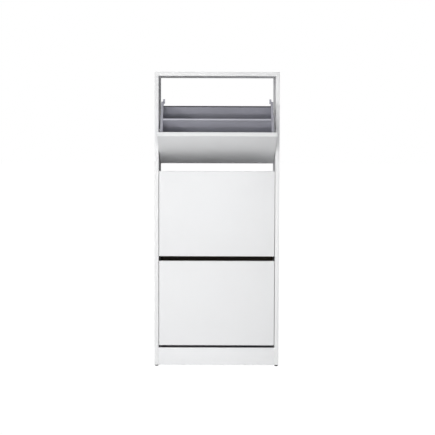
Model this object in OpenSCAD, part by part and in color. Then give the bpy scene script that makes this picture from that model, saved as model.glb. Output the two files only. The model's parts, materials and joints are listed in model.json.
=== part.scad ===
// Tall shoe cabinet with three tilt-out flaps, each carrying a two-row tray.
// X runs across the front, +Y to the back, +Z up. The origin lies on the floor, under the
// middle of the space that the cabinet takes up with its top flap tilted out.

/* [Cabinet] */
// Width over the side panels
cabinet_w = 500; // [420:5:700]
// Depth of the side panels
cabinet_d = 240; // [230:5:320]
// Thickness of every white board
board_t = 16; // [14:0.5:20]
// Height of the plinth board
plinth_h = 70; // [45:5:120]
// Room over the plinth for the lowest flap's swing
plinth_gap = 10; // [9:1:20]
// Room between the bottom panel and the lowest flap
bottom_drop = 30; // [20:1:38]
// Height of a back rail
rail_h = 80; // [60:5:120]
// Height of the upper rail's lower edge over the top flap's lower edge
rail_rise = 152; // [60:1:160]
// Thickness of the lower back panel
back_t = 3; // [2.5:0.5:5]
// Distance of the lower back panel from the side panels' back edges
back_inset = 8; // [6:0.5:10]
// Depth of the groove that holds the lower back panel
groove_d = 6; // [4:0.5:8]
// Distance of the lower back panel's upper edge under the middle flap's upper edge
back_drop = 16; // [12:1:120]
// Distance between the two wall fixing holes
wall_hole_pitch = 300; // [150:10:340]
// Radius of a wall fixing hole
wall_hole_r = 3; // [2:0.25:4]

/* [Flaps] */
// Height of a flap's front board
flap_h = 342; // [300:1:420]
// Finger gap over each flap
finger_gap = 19; // [14:1:30]
// Gap between a flap and the side panel
flap_side_gap = 2; // [1.5:0.25:4]
// Distance from the front face back to the pivot
pivot_w = 64; // [56:1:70]
// Height of the pivot over the flap's lower edge
pivot_u = 104; // [96:1:120]
// Angle of a fully opened flap
open_angle = 70.5; // [60:0.5:75]

/* [Tray] */
// Gap between the side panel and the tray's side plate
plate_gap = 12; // [11:0.5:14]
// Thickness of the side plate's web
web_t = 3; // [2.5:0.25:4]
// Width of the rim round the side plate
rim_w = 9; // [7:0.5:12]
// Thickness of the rim
rim_t = 2.5; // [2:0.25:3]
// Width of the flange that is screwed to the front board
flange_w = 22; // [18:1:28]
// Height of the side plate's lower edge
plate_low_u = 11; // [8:1:14]
// Height of the side plate at the front board
plate_front_u = 305; // [270:1:310]
// Height of the side plate's upper back corner, before it is rounded
plate_back_u = 237; // [220:1:250]
// Distance from the front face to the side plate's upper back corner, likewise
plate_back_w = 186; // [180:1:190]
// Lean of the tray's back, away from the front board
back_lean = 30; // [24:1:31]
// Lean of the tray's divider, away from the front board
divider_lean = 14.5; // [10:0.5:15]
// Distance of the tray's back from the side plate's upper back corner, along its lean
back_drop_l = 26; // [14:1:32]
// Thickness of the tray panels
panel_t = 3; // [2:0.5:4]
// Distance from the front face to the middle of the divider's upper edge
divider_w = 90; // [86:1:96]
// Height of the divider's upper edge
divider_u = 283; // [250:1:290]
// Thickness of the rounded lip on the divider
lip_t = 8; // [6:0.5:10]
// Length of the prong at the side plate's back corner
prong_l = 9; // [5:1:12]
// Width of the prong
prong_w = 8; // [6:0.5:10]

/* [Hardware] */
// Radius of the pivot pin
pin_r = 4; // [3:0.25:5]
// Radius of the stop peg
peg_r = 4; // [3:0.25:5]
// Distance from the pivot to the stop peg
peg_reach = 50; // [44:1:54]
// Angle of the stop peg over the rearward level
peg_angle = 125; // [120:1:128]
// Radius of a cam lock
cam_r = 7.5; // [7:0.25:7.5]
// Height of the glides under the side panels
glide_h = 6; // [4:0.5:10]
// Radius of a glide
glide_r = 7; // [5:0.5:7]

/* [Fits] */
// Radial running clearance of the pivot pin
running_fit = 0.05; // [0.02:0.01:0.09]
// Radial clearance of parts that are seated and don't move
seat_fit = 0.05; // [0.02:0.01:0.1]
// Clearance round the stop peg in its slot
slot_fit = 0.5; // [0.4:0.1:1]

/* [Hidden] */
$fn = 48;
cut = 1;                              // how far a cutter runs past a face

// Levels: 0 is the bottom flap, 2 the top one, which stands open at rest
BOTTOM = 0;
MIDDLE = 1;
TOP = 2;
LEVELS = [BOTTOM, MIDDLE, TOP];
SIDES = [-1, 1];
level_pitch = flap_h + finger_gap;
function flap_base(level) = glide_h + plinth_h + plinth_gap + level * level_pitch;
function rest_angle(level) = level == TOP ? open_angle : 0;

// Carcass: each back rail is a place for its back face and its lower edge
inner_x = cabinet_w / 2 - board_t;
panel_mid_x = cabinet_w / 2 - board_t / 2;
side_top_z = flap_base(TOP) + level_pitch;
bottom_z = flap_base(BOTTOM) - bottom_drop - board_t;
back_y = cabinet_d - back_inset - back_t;
back_top_z = flap_base(TOP) - finger_gap - back_drop;
back_half_w = inner_x + groove_d - 0.5;
nail_r = 0.8;
nail_l = 22;
nail_head_r = 1.8;
nail_head_t = 0.6;
nail_count = 5;
upper_rail = [cabinet_d, flap_base(TOP) + rail_rise];
middle_rail = [back_y, back_top_z - rail_h];
RAILS = [upper_rail, middle_rail];
open_front_y = pivot_w - pivot_w * cos(open_angle) - (flap_h - pivot_u) * sin(open_angle);
origin_y = (cabinet_d + open_front_y) / 2;

// Flap and tray
flap_half_w = inner_x - flap_side_gap;
plate_x = inner_x - plate_gap;
web_in_x = plate_x - web_t;
end_gap = 0.6;                        // from a tray panel's end to the web
panel_half_w = web_in_x - end_gap;
corner_r = 10;                        // round corners of the side plate
floor_u = plate_low_u + rim_t;
lip_half_w = plate_x - rim_w - end_gap;
back_l = (plate_back_u - plate_low_u) / cos(back_lean);
back_low_w = plate_back_w - back_l * sin(back_lean);
back_lows = [8, 14];                  // the back's lower edge: between the rims, at the webs
divider_low_u = 30;
divider_l = (divider_u - lip_t / 2 - divider_low_u) / cos(divider_lean);
rib_t = 2;                            // guide ribs that hold the tray panels
rib_h = 5;
rib_gap = 0.15;
boss_r = 10;                          // boss round the pivot bore
boss_l = 12;
nub_w = 125;                          // nub that runs under the friction catch
nub_u = 215;
prong_t = 5;
prong_root_w = plate_back_w - corner_r * tan(back_lean) - rim_t / cos(back_lean);
nub_r = 4;
nub_h = 3;

// Pivot, bush and stop peg
bush_r = 7;
bush_seat_l = 10;
bush_flange_r = 11;
bush_flange_t = 3;
pin_seat_l = 9;
pin_head_r = 6.5;
pin_head_t = 2.5;
peg_seat_l = 9;
pin_end_play = 0.5;
catch_l = 34;
catch_h = 16;
catch_t = 3;
catch_pad_r = 7;
catch_pad_t = 5;
catch_stem_r = 2.5;
catch_stem_l = 8;
glide_nail_r = 1.25;
glide_nail_l = 14;
glide_dome = 1.5;

// Flap screws
screw_us = [38, 158, 278];
screw_r = 1.75;
screw_l = 13;
screw_head_r = 3.6;
screw_head_t = 2;
screw_x = plate_x - flange_w + 7;

// Cam joints: a bolt screwed into one board is drawn in by a cam in the other
cam_set = 24;                         // from the joint to the cam's middle
cam_cover = 0.6;                      // how far a cam reaches past its bolt's head
bolt_thread_r = 2.5;
bolt_thread_l = 11;
bolt_shank_r = 3;
bolt_neck_r = 1.75;
bolt_neck_l = 5;
bolt_head_r = 3.4;
bolt_head_l = 3;
cam_l = board_t / 2 + bolt_head_r + cam_cover;
shank_hole_r = 3.6;
recess_w = 1.4;                       // cross recess in a cam's face
recess_l = 9;
recess_d = 2;
dowel_r = 4;
dowel_out = 10;                       // into the face of one board
dowel_in = 20;                        // into the edge of the other
joint_inset = 45;                     // from a panel's edges to its cams
glide_inset = board_t / 2 + dowel_r + 2 * glide_nail_r;

// Each joint is a place on the line between two boards and a turn. Before the turn, +Z points
// into the board that takes the thread, and -Y out of the face that the cam sits in.
top_cams = [for (s = SIDES, y = [joint_inset, cabinet_d - joint_inset])
    [[s * panel_mid_x, y, side_top_z], [0, 0, -90 * s]]];
bottom_cams = [for (s = SIDES, y = [joint_inset + board_t, cabinet_d - joint_inset])
    [[s * inner_x, y, bottom_z + board_t / 2], [90, 0, 90 * s]]];
rail_cams = [for (s = SIDES, rail = RAILS)
    [[s * inner_x, rail[0] - board_t / 2, rail[1] + rail_h * 0.7], [0, 90 * s, 0]]];
plinth_cams = [for (s = SIDES)
    [[s * inner_x, board_t / 2, glide_h + plinth_h / 2], [0, -90 * s, 180]]];
CAMS = concat(top_cams, bottom_cams, rail_cams, plinth_cams);
top_dowels = [for (s = SIDES)
    [[s * panel_mid_x, cabinet_d / 2, side_top_z], [0, 0, 0]]];
bottom_dowels = [for (s = SIDES)
    [[s * inner_x, cabinet_d / 2, bottom_z + board_t / 2], [0, 90 * s, 0]]];
rail_dowels = [for (s = SIDES, rail = RAILS)
    [[s * inner_x, rail[0] - board_t / 2, rail[1] + rail_h * 0.3], [0, 90 * s, 0]]];
plinth_dowels = [for (s = SIDES, k = [-1, 1])
    [[s * inner_x, board_t / 2, glide_h + plinth_h / 2 + k * plinth_h * 0.3], [0, 90 * s, 0]]];
DOWELS = concat(top_dowels, bottom_dowels, rail_dowels, plinth_dowels);

WHITE = [0.93, 0.93, 0.94];
GREY = [0.52, 0.52, 0.56];
STEEL = "silver";
NYLON = [0.9, 0.9, 0.88];
BLACK = [0.12, 0.12, 0.12];
HARDBOARD = [0.35, 0.25, 0.18];

// ---- helpers ----

// Moves the cabinet's own frame, whose Y is 0 at the front faces, to the origin
module cabinet() {
    translate([0, -origin_y, 0])
        children();
}

// Puts a piece drawn in the flap's own frame in its place, at its rest angle.
// In that frame Y runs back from the front face and Z up from the lower edge.
module flap(level) {
    cabinet()
        translate([0, pivot_w, flap_base(level) + pivot_u])
            rotate([rest_angle(level), 0, 0])
                translate([0, -pivot_w, -pivot_u])
                    children();
}

// Draws a piece of the right-hand side on either side
module on_side(s) {
    if (s > 0) children();
    else mirror([1, 0, 0]) children();
}

// A box between two values on each axis
module block(x, y, z) {
    translate([x[0], y[0], z[0]])
        cube([x[1] - x[0], y[1] - y[0], z[1] - z[0]]);
}

// A cylinder along X from x0 to x1
module rod_x(r, x0, x1) {
    translate([x0, 0, 0])
        rotate([0, 90, 0])
            cylinder(r = r, h = x1 - x0);
}

module at_joint(j) {
    translate(j[0])
        rotate(j[1])
            children();
}

// ---- carcass joints ----

module cam_cuts() {
    translate([0, 0, -cam_set])
        cylinder(r = shank_hole_r, h = cam_set);
    translate([0, 0, -cut / 2])
        cylinder(r = bolt_thread_r + seat_fit, h = bolt_thread_l + cut / 2 + seat_fit);
    translate([0, -board_t / 2 - cut, -cam_set])
        rotate([-90, 0, 0])
            cylinder(r = cam_r + seat_fit, h = cam_l + cut);
}

module dowel_cut() {
    translate([0, 0, -dowel_in - seat_fit])
        cylinder(r = dowel_r + seat_fit, h = dowel_in + dowel_out + 2 * seat_fit);
}

module joint_cuts() {
    for (j = CAMS) at_joint(j) cam_cuts();
    for (j = DOWELS) at_joint(j) dowel_cut();
}

module cam_lock() {
    difference() {
        translate([0, -board_t / 2, -cam_set])
            rotate([-90, 0, 0])
                cylinder(r = cam_r, h = cam_l);
        translate([0, 0, -cam_set - bolt_head_l])
            cylinder(r = bolt_head_r + 0.4, h = cam_r + bolt_head_l + cut);
        for (turn = [0, 90])
            translate([0, -board_t / 2, -cam_set])
                rotate([0, turn, 0])
                    cube([recess_l, 2 * recess_d, recess_w], center = true);
    }
}

module cam_bolt() {
    neck_z = -cam_set + bolt_head_l / 2;
    cylinder(r = bolt_thread_r, h = bolt_thread_l);
    translate([0, 0, neck_z + bolt_neck_l])
        cylinder(r = bolt_shank_r, h = -neck_z - bolt_neck_l);
    translate([0, 0, neck_z])
        cylinder(r = bolt_neck_r, h = bolt_neck_l);
    translate([0, 0, neck_z - bolt_head_l])
        cylinder(r = bolt_head_r, h = bolt_head_l);
}

module cam_locks() {
    color(STEEL)
        cabinet()
            for (j = CAMS) at_joint(j) cam_lock();
}

module cam_bolts() {
    color(STEEL)
        cabinet()
            for (j = CAMS) at_joint(j) cam_bolt();
}

module wood_dowels() {
    color("burlywood")
        cabinet()
            for (j = DOWELS)
                at_joint(j)
                    translate([0, 0, -dowel_in])
                        cylinder(r = dowel_r, h = dowel_in + dowel_out);
}

// ---- carcass boards ----

// Places at which the fittings of one flap sit on a side panel
module at_pivot(level) {
    translate([0, pivot_w, flap_base(level) + pivot_u])
        children();
}

module at_peg(level) {
    at_pivot(level)
        translate([0, peg_reach * cos(peg_angle), peg_reach * sin(peg_angle)])
            children();
}

module at_catch(level) {
    translate([0, nub_w, flap_base(level) + nub_u])
        children();
}

module at_glides() {
    for (y = [glide_inset, cabinet_d - glide_inset])
        translate([panel_mid_x, y, 0])
            children();
}

module side_panel(s) {
    color(WHITE)
        cabinet()
            difference() {
                on_side(s)
                    difference() {
                        block([inner_x, cabinet_w / 2], [0, cabinet_d], [glide_h, side_top_z]);
                        for (n = LEVELS) {
                            at_pivot(n)
                                rod_x(bush_r + seat_fit, inner_x - cut, inner_x + bush_seat_l);
                            at_peg(n)
                                rod_x(peg_r + seat_fit, inner_x - cut, inner_x + peg_seat_l);
                            at_catch(n)
                                rod_x(catch_stem_r + seat_fit, inner_x - cut, inner_x + catch_stem_l);
                        }
                        at_glides()
                            cylinder(r = glide_nail_r + seat_fit, h = glide_h + glide_nail_l);
                        block([inner_x - cut, inner_x + groove_d],
                              [back_y - seat_fit, back_y + back_t + seat_fit],
                              [glide_h - cut, back_top_z + seat_fit]);
                    }
                joint_cuts();
            }
}

module top_panel() {
    color(WHITE)
        cabinet()
            difference() {
                block([-cabinet_w / 2, cabinet_w / 2], [0, cabinet_d],
                      [side_top_z, side_top_z + board_t]);
                joint_cuts();
            }
}

module bottom_panel() {
    color(WHITE)
        cabinet()
            difference() {
                block([-inner_x, inner_x], [board_t, back_y], [bottom_z, bottom_z + board_t]);
                joint_cuts();
                nail_cuts();
            }
}

module plinth() {
    color(WHITE)
        cabinet()
            difference() {
                block([-inner_x, inner_x], [0, board_t], [glide_h, glide_h + plinth_h]);
                joint_cuts();
            }
}

module back_rail(rail) {
    difference() {
        block([-inner_x, inner_x], [rail[0] - board_t, rail[0]], [rail[1], rail[1] + rail_h]);
        joint_cuts();
    }
}

module back_rail_upper() {
    color(WHITE)
        cabinet()
            difference() {
                back_rail(upper_rail);
                for (s = SIDES)
                    translate([s * wall_hole_pitch / 2, upper_rail[0] + cut, upper_rail[1] + rail_h / 2])
                        rotate([90, 0, 0])
                            cylinder(r = wall_hole_r, h = board_t + 2 * cut);
            }
}

module back_rail_middle() {
    color(WHITE)
        cabinet()
            difference() {
                back_rail(middle_rail);
                nail_cuts();
            }
}

// Nails drive through the lower back panel into the middle rail and the bottom panel
module at_nails() {
    for (z = [bottom_z + board_t / 2, middle_rail[1] + rail_h / 2], k = [0 : nail_count - 1])
        translate([(k / (nail_count - 1) - 0.5) * 0.8 * cabinet_w, back_y + back_t, z])
            rotate([90, 0, 0])
                children();
}

module nail_cuts() {
    at_nails()
        cylinder(r = nail_r + seat_fit, h = nail_l + seat_fit, $fn = 16);
}

module panel_nails() {
    color(STEEL)
        cabinet()
            at_nails() {
                translate([0, 0, -nail_head_t])
                    cylinder(r = nail_head_r, h = nail_head_t, $fn = 16);
                cylinder(r = nail_r, h = nail_l, $fn = 16);
            }
}

module back_panel() {
    color(HARDBOARD)
        cabinet()
            difference() {
                block([-back_half_w, back_half_w], [back_y, back_y + back_t], [glide_h, back_top_z]);
                nail_cuts();
            }
}

module floor_glides() {
    color(BLACK)
        cabinet()
            for (s = SIDES)
                on_side(s)
                    at_glides() {
                        translate([0, 0, glide_dome])
                            cylinder(r = glide_r, h = glide_h - glide_dome);
                        cylinder(r1 = glide_r - glide_dome, r2 = glide_r, h = glide_dome);
                        cylinder(r = glide_nail_r, h = glide_h + glide_nail_l);
                    }
}

// ---- pivots, stops and catches ----

module pivot_bushes() {
    color(NYLON)
        cabinet()
            for (s = SIDES, n = LEVELS)
                on_side(s)
                    at_pivot(n)
                        difference() {
                            union() {
                                rod_x(bush_r, inner_x, inner_x + bush_seat_l);
                                rod_x(bush_flange_r, inner_x - bush_flange_t, inner_x);
                            }
                            rod_x(pin_r + seat_fit, inner_x - bush_flange_t - cut,
                                  inner_x + pin_seat_l);
                        }
}

module pivot_pins() {
    boss_in_x = web_in_x - boss_l;
    head_x = boss_in_x - pin_end_play;
    color(STEEL)
        cabinet()
            for (s = SIDES, n = LEVELS)
                on_side(s)
                    at_pivot(n) {
                        rod_x(pin_r, head_x, inner_x + pin_seat_l);
                        rod_x(pin_head_r, head_x - pin_head_t, head_x);
                    }
}

module stop_pegs() {
    color(STEEL)
        cabinet()
            for (s = SIDES, n = LEVELS)
                on_side(s)
                    at_peg(n)
                        rod_x(peg_r, web_in_x + 0.4, inner_x + peg_seat_l);
}

module friction_catches() {
    color(NYLON)
        cabinet()
            for (s = SIDES, n = LEVELS)
                on_side(s)
                    at_catch(n) {
                        block([inner_x - catch_t, inner_x], [-catch_l / 2, catch_l / 2],
                              [-catch_h / 2, catch_h / 2]);
                        rod_x(catch_pad_r, inner_x - catch_t - catch_pad_t, inner_x - catch_t);
                        rod_x(catch_stem_r, inner_x, inner_x + catch_stem_l);
                    }
}

// ---- flap ----

module at_flap_screws(s) {
    on_side(s)
        for (u = screw_us)
            translate([screw_x, board_t, u])
                rotate([90, 0, 0])
                    children();
}

module flap_front(level) {
    color(WHITE)
        flap(level)
            difference() {
                block([-flap_half_w, flap_half_w], [0, board_t], [0, flap_h]);
                for (s = SIDES)
                    at_flap_screws(s)
                        translate([0, 0, -cut])
                            cylinder(r = screw_r + seat_fit, h = screw_l - rim_t + cut, $fn = 24);
            }
}

// Points of an arc round a centre, from one angle to another
function arc(centre, r, from, to, steps) =
    [for (k = [0 : steps]) let (a = from + (to - from) * k / steps) centre + r * [cos(a), sin(a)]];

// Outline of the side plate, seen from the right, inset all round by a distance.
// The back edge leans back as it rises, and the upper edge rises to the front board.
module plate_outline(inset) {
    slope = atan2(plate_front_u - plate_back_u, plate_back_w - board_t);
    r = corner_r - inset;
    front_w = board_t + inset;
    top_back = [plate_back_w, plate_back_u]
        - corner_r / cos(back_lean - slope)
            * [cos(slope) + sin(back_lean), cos(back_lean) - sin(slope)];
    low_back = [back_low_w, plate_low_u]
        + corner_r * [-(1 - sin(back_lean)) / cos(back_lean), 1];
    front_top = top_back[1] + (r + (top_back[0] - front_w) * sin(slope)) / cos(slope);
    polygon(concat(
        [[front_w, front_top], [front_w, plate_low_u + inset]],
        arc(low_back, r, -90, -back_lean, 5),
        arc(top_back, r, -back_lean, 90 - slope, 8)
    ));
}

// A flat shape in the flap's depth and height, thickened along X from x0 to x1
module sheet_x(x0, x1) {
    translate([x0, 0, 0])
        rotate([90, 0, 90])
            linear_extrude(height = x1 - x0)
                children();
}

// The slot that the stop peg runs in: an arc about the pivot with round ends
module peg_slot() {
    pivot = [pivot_w, pivot_u];
    half = peg_r + slot_fit;
    low = peg_angle - open_angle;
    polygon(concat(
        arc(pivot, peg_reach + half, low, peg_angle, 16),
        arc(pivot + peg_reach * [cos(peg_angle), sin(peg_angle)], half, peg_angle + 15,
            peg_angle + 165, 10),
        arc(pivot, peg_reach - half, peg_angle, low, 16),
        arc(pivot + peg_reach * [cos(low), sin(low)], half, low + 195, low + 345, 10)
    ));
}

// Frames whose Z runs up along a leaning panel, from the upper end of the panel
module along_back() {
    translate([0, plate_back_w, plate_back_u])
        rotate([-back_lean, 0, 0])
            children();
}

module along_divider() {
    translate([0, divider_w, divider_u - lip_t / 2])
        rotate([-divider_lean, 0, 0])
            children();
}

// A pair of ribs on the web with a groove for the divider between them
module guide_ribs() {
    along_divider()
        for (k = [-1, 1])
            translate([0, k * (panel_t / 2 + rib_gap + rib_t / 2), 0])
                block([web_in_x - rib_h, web_in_x], [-rib_t / 2, rib_t / 2],
                      [-divider_l + rib_t, -1.5 * lip_t]);
}

module side_plate(s, level) {
    color(GREY)
        flap(level)
            on_side(s)
                difference() {
                    union() {
                        sheet_x(web_in_x, plate_x)
                            difference() {
                                plate_outline(0);
                                peg_slot();
                            }
                        sheet_x(plate_x - rim_w, web_in_x)
                            difference() {
                                plate_outline(0);
                                plate_outline(rim_t);
                            }
                        block([plate_x - flange_w, web_in_x], [board_t, board_t + rim_t],
                              [plate_low_u + corner_r, plate_front_u - corner_r]);
                        guide_ribs();
                        translate([0, pivot_w, pivot_u])
                            rod_x(boss_r, web_in_x - boss_l, web_in_x);
                        translate([0, nub_w, nub_u])
                            rod_x(nub_r, plate_x, plate_x + nub_h);
                        block([plate_x - rim_w - 2 * rim_t, plate_x - rim_w - 2 * rim_t + prong_w],
                              [prong_root_w, plate_back_w + prong_l],
                              [plate_back_u - corner_r - prong_t, plate_back_u - corner_r]);
                    }
                    translate([0, pivot_w, pivot_u])
                        rod_x(pin_r + running_fit, web_in_x - boss_l - cut, plate_x + cut);
                    for (u = screw_us)
                        translate([screw_x, board_t + rim_t + cut, u])
                            rotate([90, 0, 0])
                                cylinder(r = screw_r + seat_fit, h = rim_t + 2 * cut, $fn = 24);
                }
}

module tray_divider(level) {
    color(GREY)
        flap(level)
            along_divider() {
                block([-panel_half_w, panel_half_w], [-panel_t / 2, panel_t / 2],
                      [-divider_l, -1.5 * lip_t]);
                block([-lip_half_w, lip_half_w], [-panel_t / 2, panel_t / 2], [-divider_l, 0]);
                rod_x(lip_t / 2, -lip_half_w, lip_half_w);
            }
}

// Between the round corners of the side plates, the back and the floor run out to the webs
module tray_back(level) {
    color(GREY)
        flap(level)
            along_back()
                translate([0, -rim_t - seat_fit - panel_t, 0]) {
                    block([-lip_half_w, lip_half_w], [0, panel_t],
                          [-back_l + back_lows[0], -back_drop_l]);
                    block([-panel_half_w, panel_half_w], [0, panel_t],
                          [-back_l + back_lows[1], -back_drop_l]);
                }
}

module tray_floor(level) {
    color(GREY)
        flap(level) {
            block([-lip_half_w, lip_half_w], [board_t + rim_t, back_low_w - rim_t],
                  [floor_u, floor_u + panel_t]);
            block([-panel_half_w, panel_half_w], [board_t + rim_t, back_low_w - corner_r],
                  [floor_u, floor_u + panel_t]);
        }
}

module flap_screws(level) {
    color(STEEL)
        flap(level)
            for (s = SIDES)
                at_flap_screws(s) {
                    translate([0, 0, -rim_t - screw_head_t])
                        cylinder(r = screw_head_r, h = screw_head_t, $fn = 24);
                    translate([0, 0, -rim_t])
                        cylinder(r = screw_r, h = screw_l, $fn = 24);
                }
}

// ---- nodes ----

side_panel(-1);  // side_panel_left
side_panel(1);  // side_panel_right
top_panel();
bottom_panel();
plinth();
back_rail_upper();
back_rail_middle();
back_panel();
panel_nails();
floor_glides();
cam_locks();
cam_bolts();
wood_dowels();
pivot_bushes();
pivot_pins();
stop_pegs();
friction_catches();
flap_front(TOP);  // flap_front_top
side_plate(-1, TOP);  // side_plate_left_top
side_plate(1, TOP);  // side_plate_right_top
tray_divider(TOP);  // tray_divider_top
tray_back(TOP);  // tray_back_top
tray_floor(TOP);  // tray_floor_top
flap_screws(TOP);  // flap_screws_top
flap_front(MIDDLE);  // flap_front_middle
side_plate(-1, MIDDLE);  // side_plate_left_middle
side_plate(1, MIDDLE);  // side_plate_right_middle
tray_divider(MIDDLE);  // tray_divider_middle
tray_back(MIDDLE);  // tray_back_middle
tray_floor(MIDDLE);  // tray_floor_middle
flap_screws(MIDDLE);  // flap_screws_middle
flap_front(BOTTOM);  // flap_front_bottom
side_plate(-1, BOTTOM);  // side_plate_left_bottom
side_plate(1, BOTTOM);  // side_plate_right_bottom
tray_divider(BOTTOM);  // tray_divider_bottom
tray_back(BOTTOM);  // tray_back_bottom
tray_floor(BOTTOM);  // tray_floor_bottom
flap_screws(BOTTOM);  // flap_screws_bottom
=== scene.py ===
import json
import math

import bmesh
import bpy
from mathutils import Matrix, Vector


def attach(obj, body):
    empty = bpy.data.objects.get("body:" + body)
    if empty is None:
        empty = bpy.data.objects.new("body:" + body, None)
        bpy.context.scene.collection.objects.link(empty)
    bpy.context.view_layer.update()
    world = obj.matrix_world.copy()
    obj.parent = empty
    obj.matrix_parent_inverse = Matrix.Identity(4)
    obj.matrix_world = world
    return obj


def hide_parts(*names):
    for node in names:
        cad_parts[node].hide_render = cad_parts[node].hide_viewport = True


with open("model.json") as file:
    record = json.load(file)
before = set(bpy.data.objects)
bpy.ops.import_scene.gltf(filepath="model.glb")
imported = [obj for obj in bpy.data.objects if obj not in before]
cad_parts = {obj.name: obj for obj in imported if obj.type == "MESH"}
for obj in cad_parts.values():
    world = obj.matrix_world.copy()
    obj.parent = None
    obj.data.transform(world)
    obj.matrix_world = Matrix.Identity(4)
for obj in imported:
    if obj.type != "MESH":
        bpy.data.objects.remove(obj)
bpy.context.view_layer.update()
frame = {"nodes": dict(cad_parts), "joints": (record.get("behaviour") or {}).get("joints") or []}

MM = 0.001
WELD = 0.002 * MM              # vertices closer than this are one
FLAT_DEG = 0.5                 # triangles within this angle lie in one face
LEVELS = ("top", "middle", "bottom")
JOINTS = {joint["child"]: joint for joint in frame["joints"]}
OPEN_ANGLE = -math.radians(JOINTS["flap_top"]["range_deg"][0])


# ---- camera ----

CAMERA_AT = Vector((-0.005, -5.384, 0.9655))
CAMERA_DOWN = math.radians(3.867)
CAMERA_LEFT = math.radians(-0.081)
CAMERA_ROLL = math.radians(0.18)
CAMERA_LENS = 110.6


def make_camera():
    """A long lens a little under the height of the cabinet, straight in front of it."""
    data = bpy.data.cameras.new("camera")
    data.lens = CAMERA_LENS
    data.sensor_width = 36.0
    data.clip_start = 0.1
    data.clip_end = 100.0
    camera = bpy.data.objects.new("camera", data)
    turn = (
        Matrix.Rotation(CAMERA_LEFT, 4, "Z")
        @ Matrix.Rotation(math.radians(90) - CAMERA_DOWN, 4, "X")
        @ Matrix.Rotation(CAMERA_ROLL, 4, "Z")
    )
    camera.matrix_world = Matrix.Translation(CAMERA_AT) @ turn
    bpy.context.scene.collection.objects.link(camera)
    bpy.context.scene.camera = camera


make_camera()


# ---- materials ----

FLOOR_GLOW = 0.98              # share of the floor's own light, where the camera sees it


def node_material(name):
    """A new material with its Principled shader, and a short way to add nodes to it."""
    material = bpy.data.materials.new(name)
    material.use_nodes = True
    tree = material.node_tree
    shader = next(node for node in tree.nodes if node.type == "BSDF_PRINCIPLED")

    def add(kind, **values):
        node = tree.nodes.new(kind)
        for key, value in values.items():
            if key in node.inputs:
                node.inputs[key].default_value = value
            else:
                setattr(node, key, value)
        return node

    return material, shader, add, tree.links.new


def object_noise(add, link, scale, detail=2.0, stretch=(1, 1, 1)):
    """Noise on Object coordinates, so that it keeps its real size on every piece."""
    place = add("ShaderNodeTexCoord")
    mapping = add("ShaderNodeMapping", Scale=stretch)
    noise = add("ShaderNodeTexNoise", Scale=scale, Detail=detail)
    link(place.outputs["Object"], mapping.inputs["Vector"])
    link(mapping.outputs["Vector"], noise.inputs["Vector"])
    return noise.outputs["Fac"]


def spread(add, link, value, low, high):
    """Brings a noise value, which lies mostly from 0.3 to 0.7, to a range."""
    fit = add("ShaderNodeMapRange")
    for key, number in (("From Min", 0.3), ("From Max", 0.7), ("To Min", low), ("To Max", high)):
        fit.inputs[key].default_value = number
    link(value, fit.inputs["Value"])
    return fit.outputs["Result"]


def two_tone(add, link, value, dark, light):
    """Colour that drifts between two near shades."""
    ramp = add("ShaderNodeValToRGB")
    ramp.color_ramp.elements[0].position = 0.3
    ramp.color_ramp.elements[1].position = 0.7
    ramp.color_ramp.elements[0].color = (*dark, 1)
    ramp.color_ramp.elements[1].color = (*light, 1)
    link(value, ramp.inputs["Fac"])
    return ramp.outputs["Color"]


def bumped(add, link, shader, height, depth, strength):
    """Lets a height drawn by noise stand out by a depth in metres."""
    bump = add("ShaderNodeBump", Strength=strength, Distance=depth)
    link(height, bump.inputs["Height"])
    link(bump.outputs["Normal"], shader.inputs["Normal"])


def melamine():
    """White melamine face: a fine pearl texture with a satin sheen that drifts a little."""
    material, shader, add, link = node_material("melamine_white")
    drift = object_noise(add, link, 2.2)
    link(two_tone(add, link, drift, (0.845, 0.85, 0.86), (0.865, 0.87, 0.875)),
         shader.inputs["Base Color"])
    link(spread(add, link, object_noise(add, link, 9.0), 0.44, 0.54), shader.inputs["Roughness"])
    shader.inputs["Specular IOR Level"].default_value = 0.38
    bumped(add, link, shader, object_noise(add, link, 1100.0, 3.0), 0.00004, 0.35)
    return material


def edge_band():
    """Thin edging glued round the boards, a little smoother than their faces."""
    material, shader, add, link = node_material("edge_band_white")
    drift = object_noise(add, link, 5.0)
    link(two_tone(add, link, drift, (0.85, 0.855, 0.86), (0.875, 0.88, 0.88)),
         shader.inputs["Base Color"])
    link(spread(add, link, object_noise(add, link, 30.0), 0.40, 0.50), shader.inputs["Roughness"])
    shader.inputs["Specular IOR Level"].default_value = 0.38
    bumped(add, link, shader, object_noise(add, link, 260.0, 2.0), 0.00005, 0.25)
    return material


def particle_board():
    """Pressed chips, seen only inside the bores."""
    material, shader, add, link = node_material("particle_board_core")
    chips = object_noise(add, link, 420.0, 6.0)
    link(two_tone(add, link, chips, (0.36, 0.24, 0.13), (0.68, 0.52, 0.34)),
         shader.inputs["Base Color"])
    shader.inputs["Roughness"].default_value = 0.9
    bumped(add, link, shader, chips, 0.0006, 0.8)
    return material


def moulded_plastic(name, dark, light, roughness, grain=1500.0):
    """Plastic with the fine sparked texture of its mould."""
    material, shader, add, link = node_material(name)
    link(two_tone(add, link, object_noise(add, link, 14.0, 4.0), dark, light),
         shader.inputs["Base Color"])
    link(spread(add, link, object_noise(add, link, 40.0), roughness - 0.05, roughness + 0.06),
         shader.inputs["Roughness"])
    bumped(add, link, shader, object_noise(add, link, grain, 2.0), 0.00006, 0.5)
    return material


def plated_steel(name, dark, light, roughness, stretch):
    """Zinc-plated steel with fine drawing lines along one way."""
    material, shader, add, link = node_material(name)
    lines = object_noise(add, link, 900.0, 3.0, stretch)
    link(two_tone(add, link, lines, dark, light), shader.inputs["Base Color"])
    shader.inputs["Metallic"].default_value = 1.0
    link(spread(add, link, lines, roughness - 0.08, roughness + 0.08), shader.inputs["Roughness"])
    bumped(add, link, shader, lines, 0.00003, 0.4)
    return material


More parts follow.
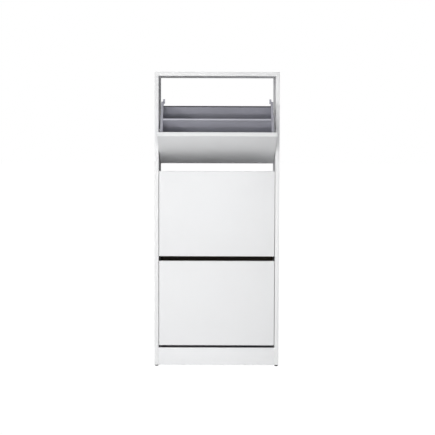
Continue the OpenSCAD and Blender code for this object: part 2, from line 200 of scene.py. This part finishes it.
def hardboard():
    """Brown hardboard: pressed fibres, mottled and dull."""
    material, shader, add, link = node_material("hardboard_brown")
    fibres = object_noise(add, link, 260.0, 8.0, (1, 1, 2.5))
    link(two_tone(add, link, fibres, (0.075, 0.058, 0.045), (0.13, 0.100, 0.078)),
         shader.inputs["Base Color"])
    shader.inputs["Roughness"].default_value = 0.78
    bumped(add, link, shader, fibres, 0.0002, 0.5)
    return material


def beech():
    """Raw beech dowel with its grain along the pin."""
    material, shader, add, link = node_material("beech_raw")
    grain = object_noise(add, link, 500.0, 5.0, (0.1, 1, 1))
    link(two_tone(add, link, grain, (0.50, 0.33, 0.18), (0.66, 0.48, 0.30)),
         shader.inputs["Base Color"])
    shader.inputs["Roughness"].default_value = 0.7
    bumped(add, link, shader, grain, 0.0002, 0.5)
    return material


def studio_floor():
    """Pale seamless sheet that the cabinet stands on, lit from below where it is in view."""
    material, shader, add, link = node_material("studio_floor")
    drift = object_noise(add, link, 0.8)
    link(two_tone(add, link, drift, (0.88, 0.88, 0.88), (0.90, 0.90, 0.90)),
         shader.inputs["Base Color"])
    shader.inputs["Roughness"].default_value = 0.9
    shader.inputs["Specular IOR Level"].default_value = 0.1
    glow = add("ShaderNodeEmission", Color=(1, 1, 1, 1), Strength=1.03)
    share = add("ShaderNodeMath", operation="MULTIPLY")
    share.inputs[1].default_value = FLOOR_GLOW
    blend = add("ShaderNodeMixShader")
    tree = material.node_tree
    out = next(node for node in tree.nodes if node.type == "OUTPUT_MATERIAL")
    link(add("ShaderNodeLightPath").outputs["Is Camera Ray"], share.inputs[0])
    link(share.outputs["Value"], blend.inputs["Fac"])
    link(shader.outputs["BSDF"], blend.inputs[1])
    link(glow.outputs["Emission"], blend.inputs[2])
    link(blend.outputs["Shader"], out.inputs["Surface"])
    return material


MELAMINE = melamine()
EDGE_BAND = edge_band()
CHIPBOARD = particle_board()
GREY = moulded_plastic("tray_plastic_grey", (0.43, 0.43, 0.485), (0.46, 0.46, 0.52), 0.5)
# painted highlight: a paler copy of the tray grey, for the lip where light falls on it
PAINTED_LIP_HIGHLIGHT = moulded_plastic("lip_painted_highlight", (0.50, 0.50, 0.56), (0.53, 0.53, 0.59), 0.42)
# painted shade: a near-black copy of the moulded plastic that stands for the shadowed top edge of
# the tray's back
PAINTED_EDGE_SHADE = moulded_plastic("painted_edge_shade", (0.045, 0.045, 0.055), (0.06, 0.06, 0.07), 0.45)
BLACK = moulded_plastic("glide_plastic_black", (0.012, 0.012, 0.012), (0.022, 0.022, 0.022), 0.5)
NYLON = moulded_plastic("nylon_white", (0.74, 0.74, 0.71), (0.80, 0.80, 0.77), 0.4)
STEEL = plated_steel("steel_plated", (0.52, 0.53, 0.55), (0.70, 0.71, 0.73), 0.3, (0.05, 1, 1))
ZINC = plated_steel("zinc_cast", (0.45, 0.46, 0.48), (0.60, 0.61, 0.63), 0.42, (1, 1, 1))
HARDBOARD = hardboard()
BEECH = beech()


# ---- mesh helpers ----

def flap_turn(body):
    """From the cabinet with every flap shut to the row frame, for a body at rest."""
    if body != "flap_top":
        return Matrix.Identity(4)
    pivot = Vector(JOINTS[body]["pos_m"])
    turn = Matrix.Rotation(OPEN_ANGLE, 4, "X")
    return Matrix.Translation(pivot) @ turn @ Matrix.Translation(-pivot)


def merged_copy(node, turn):
    """The node's shape with its loose triangles joined into whole faces, turned shut."""
    shape = bmesh.new()
    shape.from_mesh(frame["nodes"][node].data)
    shape.transform(turn.inverted())
    bmesh.ops.remove_doubles(shape, verts=shape.verts, dist=WELD)
    bmesh.ops.dissolve_limit(shape, angle_limit=math.radians(FLAT_DEG), verts=shape.verts,
                             edges=shape.edges)
    return shape


def finished_piece(name, shape, turn, body, materials, sharp_deg):
    """Makes the mesh an object at the origin that rides its body and shows its materials.

    An edge sharper than the angle stays crisp, where its faces are shaded smooth."""
    shape.transform(turn)
    mesh = bpy.data.meshes.new(name)
    shape.to_mesh(mesh)
    shape.free()
    stale = mesh.attributes.get("custom_normal")    # normals of the shape before its edges broke
    if stale:
        mesh.attributes.remove(stale)
    for material in materials:
        mesh.materials.append(material)
    mesh.set_sharp_from_angle(angle=math.radians(sharp_deg))
    piece = bpy.data.objects.new(name, mesh)
    bpy.context.scene.collection.objects.link(piece)
    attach(piece, body)
    return piece


FLAT_AREA = 60 * MM * MM       # a larger face is a plane and is shaded as one
CRISP_DEG = 50                 # an edge of a board or moulding sharper than this stays crisp


def shade_rounds(shape, rounds):
    """Small curved walls and the given rounded edges are shaded smooth, the planes flat."""
    for face in shape.faces:
        face.smooth = face.calc_area() < FLAT_AREA
    for face in rounds:
        face.smooth = True


def box_of(shape):
    """The two corners of the shape's box."""
    low = Vector([min(v.co[axis] for v in shape.verts) for axis in range(3)])
    high = Vector([max(v.co[axis] for v in shape.verts) for axis in range(3)])
    return low, high


ON_FACE = 0.01 * MM            # a point nearer than this lies on a face of the box


def faces_hit(co, low, high):
    """How many of the box's faces a point lies on."""
    return sum(abs(co[axis] - side[axis]) < ON_FACE
               for axis in range(3) for side in (low, high))


# ---- boards ----

EDGE_ROUND = 0.9 * MM          # radius that the edging is trimmed to
FACE, EDGE, CORE = 0, 1, 2     # order of a board's materials


def board(node, body="cabinet"):
    """A board with melamine faces, rounded edging all round and raw chips in its bores."""
    turn = flap_turn(body)
    shape = merged_copy(node, turn)
    low, high = box_of(shape)
    size = high - low
    thin = min(range(3), key=lambda axis: size[axis])
    outer = [edge for edge in shape.edges
             if all(faces_hit(v.co, low, high) >= 2 for v in edge.verts)
             and faces_hit((edge.verts[0].co + edge.verts[1].co) / 2, low, high) >= 2]
    rounds = bmesh.ops.bevel(shape, geom=outer, offset=EDGE_ROUND, segments=3, profile=0.5,
                             affect="EDGES", clamp_overlap=True)["faces"]
    shape.normal_update()
    shade_rounds(shape, rounds)
    for face in shape.faces:
        centre = face.calc_center_median()
        gap = min(min(centre[a] - low[a], high[a] - centre[a]) for a in range(3))
        if gap > EDGE_ROUND:
            face.material_index = CORE
        elif abs(face.normal[thin]) > 0.99:
            face.material_index = FACE
        else:
            face.material_index = EDGE
    piece = finished_piece(node + "_board", shape, turn, body,
                           (MELAMINE, EDGE_BAND, CHIPBOARD), CRISP_DEG)
    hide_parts(node)


for name in ("side_panel_left", "side_panel_right", "top_panel", "bottom_panel", "plinth",
             "back_rail_upper", "back_rail_middle"):
    board(name)
for level in LEVELS:
    board("flap_front_" + level, "flap_" + level)


# ---- moulded tray parts ----

PLATE_ROUND = 0.35 * MM        # broken edges of a side plate
PANEL_ROUND = 0.5 * MM         # broken edges of the divider, the back and the floor
BREAK_DEG = 35                 # an edge sharper than this is broken
HIGHLIGHT_BAND_HEIGHT = 8.2 * MM          # painted highlight: the divider's upper edge is made paler where its lip faces the light
SHADE_BAND_HEIGHT = 3.4 * MM         # painted shade: a near-black band along the back's upper edge, where its top edge falls in shadow


def moulding(node, body, materials, width, painted_band=0.0):
    """A moulded part: the node's shape with every sharp edge broken by a small radius.

    A band along its upper edge, where it has one, takes the second material: a painted highlight
    on the divider, painted shade on the back."""
    turn = flap_turn(body)
    shape = merged_copy(node, turn)
    sharp = [edge for edge in shape.edges
             if len(edge.link_faces) == 2 and edge.calc_face_angle(0) > math.radians(BREAK_DEG)]
    rounds = bmesh.ops.bevel(shape, geom=sharp, offset=width, segments=2, profile=0.5,
                             affect="EDGES", clamp_overlap=True)["faces"]
    shape.normal_update()
    shade_rounds(shape, rounds)
    if painted_band:
        height = box_of(shape)[1].z - painted_band
        bmesh.ops.bisect_plane(shape, geom=shape.verts[:] + shape.edges[:] + shape.faces[:],
                               plane_co=(0, 0, height), plane_no=(0, 0, 1))
        # faces above the cut take the painted light or shade of the band
        for face in shape.faces:
            face.material_index = int(face.calc_center_median().z > height)
    piece = finished_piece(node + "_moulding", shape, turn, body, materials,
                           CRISP_DEG)
    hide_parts(node)


for level in LEVELS:
    body = "flap_" + level
    for side in ("left", "right"):
        moulding(f"side_plate_{side}_{level}", body, (GREY,), PLATE_ROUND)
    # the divider's upper band carries a painted highlight
    moulding("tray_divider_" + level, body, (GREY, PAINTED_LIP_HIGHLIGHT), PANEL_ROUND, HIGHLIGHT_BAND_HEIGHT)
    # the back's upper band carries painted shade for its shadowed top edge
    moulding("tray_back_" + level, body, (GREY, PAINTED_EDGE_SHADE), PANEL_ROUND, SHADE_BAND_HEIGHT)
    moulding("tray_floor_" + level, body, (GREY,), PANEL_ROUND)


# ---- fittings that repeat, turned by Geometry Nodes ----

TURNED_SHARP = 40              # degrees: a turned edge sharper than this stays crisp


def wire(tree, kind, links, **values):
    """A new node in the tree, with its links given by input name or number."""
    node = tree.nodes.new(kind)
    for key, value in values.items():
        setattr(node, key, value)
    for key, value in links.items():
        socket = node.inputs[key]
        if isinstance(value, bpy.types.NodeSocket):
            tree.links.new(value, socket)
        else:
            socket.default_value = value
    return node


def summed(tree, given, terms):
    """Adds up named sizes, each times its factor."""
    total = None
    for label, factor in terms:
        part = wire(tree, "ShaderNodeMath", {0: given.outputs[label], 1: factor},
                    operation="MULTIPLY").outputs[0]
        if total is not None:
            part = wire(tree, "ShaderNodeMath", {0: total, 1: part}, operation="ADD").outputs[0]
        total = part
    return total


def by_station(tree, given, rows):
    """The sum of sizes that belongs to the station being placed."""
    switch = wire(tree, "GeometryNodeIndexSwitch", {}, data_type="FLOAT")
    while len(switch.index_switch_items) < len(rows):
        switch.index_switch_items.new()
    tree.links.new(tree.nodes.new("GeometryNodeInputIndex").outputs[0], switch.inputs["Index"])
    for number, terms in enumerate(rows):
        tree.links.new(summed(tree, given, terms), switch.inputs[number + 1])
    return switch.outputs[0]


def cross_recess(tree, given, blank):
    """Cuts a cross for the screwdriver into the face that lies at height 0."""
    bars = []
    for across in (True, False):
        reach, width = given.outputs["Recess Reach"], given.outputs["Recess Width"]
        deep = summed(tree, given, [("Recess Depth", 2.0)])
        size = wire(tree, "ShaderNodeCombineXYZ",
                    {0: reach if across else width, 1: width if across else reach, 2: deep})
        bars.append(wire(tree, "GeometryNodeMeshCube", {"Size": size.outputs[0]}).outputs[0])
    cut = wire(tree, "GeometryNodeMeshBoolean", {"Mesh 1": blank}, operation="DIFFERENCE",
               solver="EXACT")
    for bar in bars:
        tree.links.new(bar, cut.inputs["Mesh 2"])
    return cut.outputs[0]


def turned_tree(name, sizes, stations, recess=False):
    """A tree that turns one fitting from its stations and sets a copy at every place.

    A station is a height and a radius, each a sum of the named sizes. Heights run down
    from 0 at the fitting's outer face. A place is a point with the way the face looks."""
    tree = bpy.data.node_groups.new(name, "GeometryNodeTree")
    tree.interface.new_socket("Places", in_out="INPUT", socket_type="NodeSocketGeometry")
    for label in (*sizes, "Flute Depth"):
        tree.interface.new_socket(label, in_out="INPUT", socket_type="NodeSocketFloat")
    for label in ("Sides", "Spin Seed"):
        tree.interface.new_socket(label, in_out="INPUT", socket_type="NodeSocketInt")
    tree.interface.new_socket("Finish", in_out="INPUT", socket_type="NodeSocketMaterial")
    tree.interface.new_socket("Fittings", in_out="OUTPUT", socket_type="NodeSocketGeometry")
    given = tree.nodes.new("NodeGroupInput")

    line = wire(tree, "GeometryNodeMeshLine", {"Count": len(stations)})
    path = wire(tree, "GeometryNodeMeshToCurve", {"Mesh": line.outputs[0]})
    height = by_station(tree, given, [row[0] for row in stations])
    radius = by_station(tree, given, [row[1] for row in stations])
    spot = wire(tree, "ShaderNodeCombineXYZ", {"Z": height})
    path = wire(tree, "GeometryNodeSetPosition",
                {"Geometry": path.outputs[0], "Position": spot.outputs[0]})
    ring = wire(tree, "GeometryNodeCurvePrimitiveCircle",
                {"Resolution": given.outputs["Sides"], "Radius": 1.0})
    even = wire(tree, "ShaderNodeMath",
                {0: tree.nodes.new("GeometryNodeInputIndex").outputs[0], 1: 2.0},
                operation="MODULO")
    flute = wire(tree, "ShaderNodeMath",
                 {0: even.outputs[0], 1: given.outputs["Flute Depth"]}, operation="MULTIPLY")
    keep = wire(tree, "ShaderNodeMath", {0: 1.0, 1: flute.outputs[0]}, operation="SUBTRACT")
    place = tree.nodes.new("GeometryNodeInputPosition").outputs[0]
    drawn = wire(tree, "ShaderNodeVectorMath", {0: place}, operation="SCALE")
    tree.links.new(keep.outputs[0], drawn.inputs["Scale"])
    ring = wire(tree, "GeometryNodeSetPosition",
                {"Geometry": ring.outputs[0], "Position": drawn.outputs[0]})
    swept = wire(tree, "GeometryNodeCurveToMesh",
                 {"Curve": path.outputs[0], "Profile Curve": ring.outputs[0], "Scale": radius,
                  "Fill Caps": True})
    blank = swept.outputs[0]
    if recess:
        blank = cross_recess(tree, given, blank)

    aim = wire(tree, "GeometryNodeInputNamedAttribute", {"Name": "aim"}, data_type="FLOAT_VECTOR")
    faced = wire(tree, "FunctionNodeAlignRotationToVector", {"Vector": aim.outputs[0]}, axis="Z")
    chance = wire(tree, "FunctionNodeRandomValue", {"Seed": given.outputs["Spin Seed"]},
                  data_type="FLOAT")
    angle = wire(tree, "ShaderNodeMath", {0: chance.outputs[1], 1: 2 * math.pi},
                 operation="MULTIPLY")
    spin = wire(tree, "FunctionNodeAxisAngleToRotation",
                {"Axis": (0, 0, 1), "Angle": angle.outputs[0]})
    turn = wire(tree, "FunctionNodeRotateRotation",
                {"Rotation": faced.outputs[0], "Rotate By": spin.outputs[0]},
                rotation_space="LOCAL")
    copies = wire(tree, "GeometryNodeInstanceOnPoints",
                  {"Points": given.outputs["Places"], "Instance": blank,
                   "Rotation": turn.outputs[0]})
    real = wire(tree, "GeometryNodeRealizeInstances", {"Geometry": copies.outputs[0]})
    done = wire(tree, "GeometryNodeSetMaterial",
                {"Geometry": real.outputs[0], "Material": given.outputs["Finish"]})
    out = tree.nodes.new("NodeGroupOutput")
    tree.links.new(done.outputs[0], out.inputs[0])
    return tree


def islands(node, turn):
    """The two corners of each separate solid of a node, with the flap shut."""
    shape = merged_copy(node, turn)
    unseen = set(shape.verts)
    boxes = []
    while unseen:
        group, waiting = set(), [unseen.pop()]
        while waiting:
            vert = waiting.pop()
            group.add(vert)
            for edge in vert.link_edges:
                other = edge.other_vert(vert)
                if other in unseen:
                    unseen.remove(other)
                    waiting.append(other)
        low = Vector([min(v.co[axis] for v in group) for axis in range(3)])
        high = Vector([max(v.co[axis] for v in group) for axis in range(3)])
        boxes.append((low, high))
    shape.free()
    return sorted(boxes, key=lambda box: [round(value, 4) for value in box[0]])


def outer_face(low, high, aim):
    """Middle of the face of a box that looks along an axis."""
    middle = (low + high) / 2
    return Vector([high[a] if aim[a] > 0 else low[a] if aim[a] < 0 else middle[a]
                   for a in range(3)])


def turned_fittings(node, body, finish, tree, sizes, aim_of, sides, seed, flute=0.0):
    """One plain mesh of a fitting at all its places, which stands for the CAD node.

    The sizes are in millimetres, and a flute's depth is a share of the radius."""
    turn = flap_turn(body)
    places = bpy.data.meshes.new(node + "_places")
    aims, points = [], []
    for low, high in islands(node, turn):
        aim = aim_of(low, high)
        aims.append((turn.to_3x3() @ aim).normalized())
        points.append(turn @ outer_face(low, high, aim))
    places.from_pydata(points, [], [])
    values = places.attributes.new("aim", "FLOAT_VECTOR", "POINT")
    values.data.foreach_set("vector", [number for aim in aims for number in aim])
    holder = bpy.data.objects.new(node + "_holder", places)
    bpy.context.scene.collection.objects.link(holder)
    modifier = holder.modifiers.new("fittings", "NODES")
    modifier.node_group = tree
    inputs = {item.name: item.identifier for item in tree.interface.items_tree
              if item.in_out == "INPUT"}
    for label, size in sizes.items():
        modifier[inputs[label]] = size * MM
    modifier[inputs["Flute Depth"]] = flute
    modifier[inputs["Sides"]] = sides
    modifier[inputs["Spin Seed"]] = seed
    modifier[inputs["Finish"]] = finish
    view = bpy.context.evaluated_depsgraph_get()
    mesh = bpy.data.meshes.new_from_object(holder.evaluated_get(view), depsgraph=view)
    holder.modifiers.remove(modifier)
    bpy.data.objects.remove(holder)
    shape = bmesh.new()
    shape.from_mesh(mesh)
    bmesh.ops.remove_doubles(shape, verts=shape.verts, dist=WELD / 2)
    bmesh.ops.recalc_face_normals(shape, faces=shape.faces)
    for face in shape.faces:
        face.smooth = True
    name = node + ("_fluted" if flute else "_turned")
    piece = finished_piece(name, shape, Matrix.Identity(4), body, (finish,), TURNED_SHARP)
    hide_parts(node)


def to_middle(low, high):
    """The fitting's outer face looks at the middle of the cabinet."""
    return Vector((-1 if low.x > 0 else 1, 0, 0))


def to_back(low, high):
    """The fitting's outer face looks at the back."""
    return Vector((0, 1, 0))


def along_dowel(low, high):
    """A dowel lies along its longest side."""
    size = high - low
    longest = max(range(3), key=lambda axis: size[axis])
    return Vector([1 if axis == longest else 0 for axis in range(3)])


# A flat head whose rim is broken, over a plain pointed shank
HEADED = (
    ([("Head Height", 0.0)], [("Head Radius", 0.55)]),
    ([("Head Height", -0.45)], [("Head Radius", 0.95)]),
    ([("Head Height", -0.7)], [("Head Radius", 1.0)]),
    ([("Head Height", -1.0)], [("Head Radius", 1.0)]),
    ([("Head Height", -1.0), ("Shoulder", -1.0)], [("Shank Radius", 1.0)]),
    ([("Head Height", -1.0), ("Shank Length", -1.0), ("Shank Radius", 2.0)],
     [("Shank Radius", 1.0)]),
    ([("Head Height", -1.0), ("Shank Length", -1.0)], [("Shank Radius", 0.2)]),
)
# A plain pin with both rims broken
PLAIN = (
    ([("Chamfer", 0.0)], [("Shank Radius", 1.0), ("Chamfer", -1.0)]),
    ([("Chamfer", -1.0)], [("Shank Radius", 1.0)]),
    ([("Shank Length", -1.0), ("Chamfer", 1.0)], [("Shank Radius", 1.0)]),
    ([("Shank Length", -1.0)], [("Shank Radius", 1.0), ("Chamfer", -1.0)]),
)
# A head on a straight pin whose inner end is only chamfered
PINNED = HEADED[:5] + (
    ([("Head Height", -1.0), ("Shank Length", -1.0), ("Chamfer", 1.0)], [("Shank Radius", 1.0)]),
    ([("Head Height", -1.0), ("Shank Length", -1.0)],
     [("Shank Radius", 1.0), ("Chamfer", -1.0)]),
)


THREAD_TURNS = 6
THREAD_ROOT = 0.74             # share of the shank's radius


def threaded(start, count, pitch, crest, root):
    """Stations of a thread: crests and roots in turn, down from a height."""
    rows = []
    for number in range(count):
        for half, edge in ((0.0, root), (0.5, crest)):
            rows.append((start + [(pitch, -(number + half))], edge))
    return tuple(rows)


UNDER_HEAD = [("Head Height", -1.0), ("Shoulder", -1.0), ("Plain Length", -1.0)]
SCREWED = HEADED[:5] + threaded(
    UNDER_HEAD, THREAD_TURNS, "Thread Pitch",
    [("Shank Radius", 1.0)], [("Shank Radius", THREAD_ROOT)]) + HEADED[6:]

SHOULDER = 0.02                # rise under a head, so that no two stations share a height
NAIL_SIZES = {
    "Head Radius": 1.8, "Head Height": 0.6, "Shoulder": SHOULDER,
    "Shank Radius": 0.8, "Shank Length": 22,
}
PIN_SIZES = {
    "Head Radius": 6.5, "Head Height": 2.5, "Shoulder": SHOULDER,
    "Shank Radius": 4, "Shank Length": 36.5, "Chamfer": 0.8,
}
PEG_SIZES = {"Shank Radius": 4, "Shank Length": 23.6, "Chamfer": 0.6}
DOWEL_SIZES = {"Shank Radius": 4, "Shank Length": 30, "Chamfer": 0.9}
DOWEL_FLUTE = 0.09
SCREW_SIZES = {
    "Head Radius": 3.6, "Head Height": 2, "Shoulder": SHOULDER,
    "Shank Radius": 1.75, "Shank Length": 13, "Plain Length": 2.5, "Thread Pitch": 1.6,
    "Recess Reach": 3.8, "Recess Width": 0.9, "Recess Depth": 1.2,
}

nail_tree = turned_tree("panel_nail", NAIL_SIZES, HEADED)
pin_tree = turned_tree("pivot_pin", PIN_SIZES, PINNED)
plain_tree = turned_tree("plain_pin", PEG_SIZES, PLAIN)
screw_tree = turned_tree("flap_screw", SCREW_SIZES, SCREWED, recess=True)

turned_fittings("panel_nails", "cabinet", STEEL, nail_tree, NAIL_SIZES, to_back,
                sides=12, seed=3)
turned_fittings("pivot_pins", "cabinet", STEEL, pin_tree, PIN_SIZES, to_middle,
                sides=48, seed=5)
turned_fittings("stop_pegs", "cabinet", STEEL, plain_tree, PEG_SIZES, to_middle,
                sides=40, seed=7)
turned_fittings("wood_dowels", "cabinet", BEECH, plain_tree, DOWEL_SIZES, along_dowel,
                sides=36, seed=9, flute=DOWEL_FLUTE)
for number, level in enumerate(LEVELS):
    turned_fittings("flap_screws_" + level, "flap_" + level, STEEL, screw_tree,
                    SCREW_SIZES, to_back, sides=24, seed=11 + number)


# ---- CAD nodes that keep their shape ----

def repaint(node, material):
    """Gives a CAD node its material in the scene."""
    slots = frame["nodes"][node].data.materials
    slots.clear()
    slots.append(material)


KEPT = {
    "back_panel": HARDBOARD, "floor_glides": BLACK, "cam_locks": ZINC, "cam_bolts": STEEL,
    "pivot_bushes": NYLON, "friction_catches": NYLON,
}
for name, material in KEPT.items():
    repaint(name, material)


# ---- studio ----

FLOOR_HALF = 30.0              # metres, far past the view


def make_floor():
    """A plain pale floor at height 0."""
    mesh = bpy.data.meshes.new("floor")
    corners = [(x * FLOOR_HALF, y * FLOOR_HALF, 0) for x, y in
               ((-1, -1), (1, -1), (1, 1), (-1, 1))]
    mesh.from_pydata(corners, [], [(0, 1, 2, 3)])
    mesh.materials.append(studio_floor())
    floor = bpy.data.objects.new("floor", mesh)
    bpy.context.scene.collection.objects.link(floor)


def softbox(name, at, aim, width, height, power):
    """A soft rectangular light turned to a point."""
    data = bpy.data.lights.new(name, "AREA")
    data.shape = "RECTANGLE"
    data.size = width
    data.size_y = height
    data.energy = power
    light = bpy.data.objects.new(name, data)
    light.location = at
    light.rotation_mode = "QUATERNION"
    light.rotation_quaternion = (Vector(aim) - Vector(at)).to_track_quat("-Z", "Y")
    bpy.context.scene.collection.objects.link(light)


def make_world(ambient, backdrop):
    """Even ambient light, with a white backdrop where nothing is in view."""
    world = bpy.data.worlds.new("studio")
    bpy.context.scene.world = world
    world.use_nodes = True
    nodes = world.node_tree.nodes
    links = world.node_tree.links
    nodes.clear()
    path = nodes.new("ShaderNodeLightPath")
    soft = nodes.new("ShaderNodeBackground")
    seen = nodes.new("ShaderNodeBackground")
    mix = nodes.new("ShaderNodeMixShader")
    out = nodes.new("ShaderNodeOutputWorld")
    soft.inputs["Color"].default_value = (1, 1, 1, 1)
    seen.inputs["Color"].default_value = (1, 1, 1, 1)
    soft.inputs["Strength"].default_value = ambient
    seen.inputs["Strength"].default_value = backdrop
    links.new(path.outputs["Is Camera Ray"], mix.inputs["Fac"])
    links.new(soft.outputs["Background"], mix.inputs[1])
    links.new(seen.outputs["Background"], mix.inputs[2])
    links.new(mix.outputs["Shader"], out.inputs["Surface"])


make_floor()
make_world(ambient=0.0, backdrop=1.0)
# name, place, point it looks at, width and height in metres, power in watts
softbox("key_left", (-7.0, -5.6, 2.2), (0, 0, 0.7), 1.6, 2.0, 200)
softbox("front_level", (-0.5, -6.6, 0.8), (0, 0, 0.8), 2.4, 1.1, 60)
softbox("front_under", (-0.4, -4.8, 0.22), (0, 0, 0.9), 3.0, 0.36, 52)
softbox("top_front", (-0.4, -2.6, 3.2), (0, 0, 0.8), 2.0, 1.6, 19)
softbox("floor_wash", (0, -2.7, 1.9), (0, -2.5, 0), 3.0, 1.6, 20)
softbox("fill_right", (4.6, -4.6, 1.5), (0, 0, 0.7), 2.4, 3.0, 16)
softbox("back_left", (-1.8, 3.2, 1.8), (0, 0, 0.7), 2.2, 2.0, 9)
softbox("side_right", (4.6, 0.5, 1.7), (0, 0, 0.6), 2.0, 2.4, 42)
softbox("side_left", (-4.6, 0.5, 1.7), (0, 0, 0.6), 2.0, 2.4, 34)
softbox("back_high", (-1.1, 3.6, 3.4), (0, 0.1, 0.5), 2.4, 1.0, 34)
bpy.context.scene.view_settings.view_transform = "Standard"
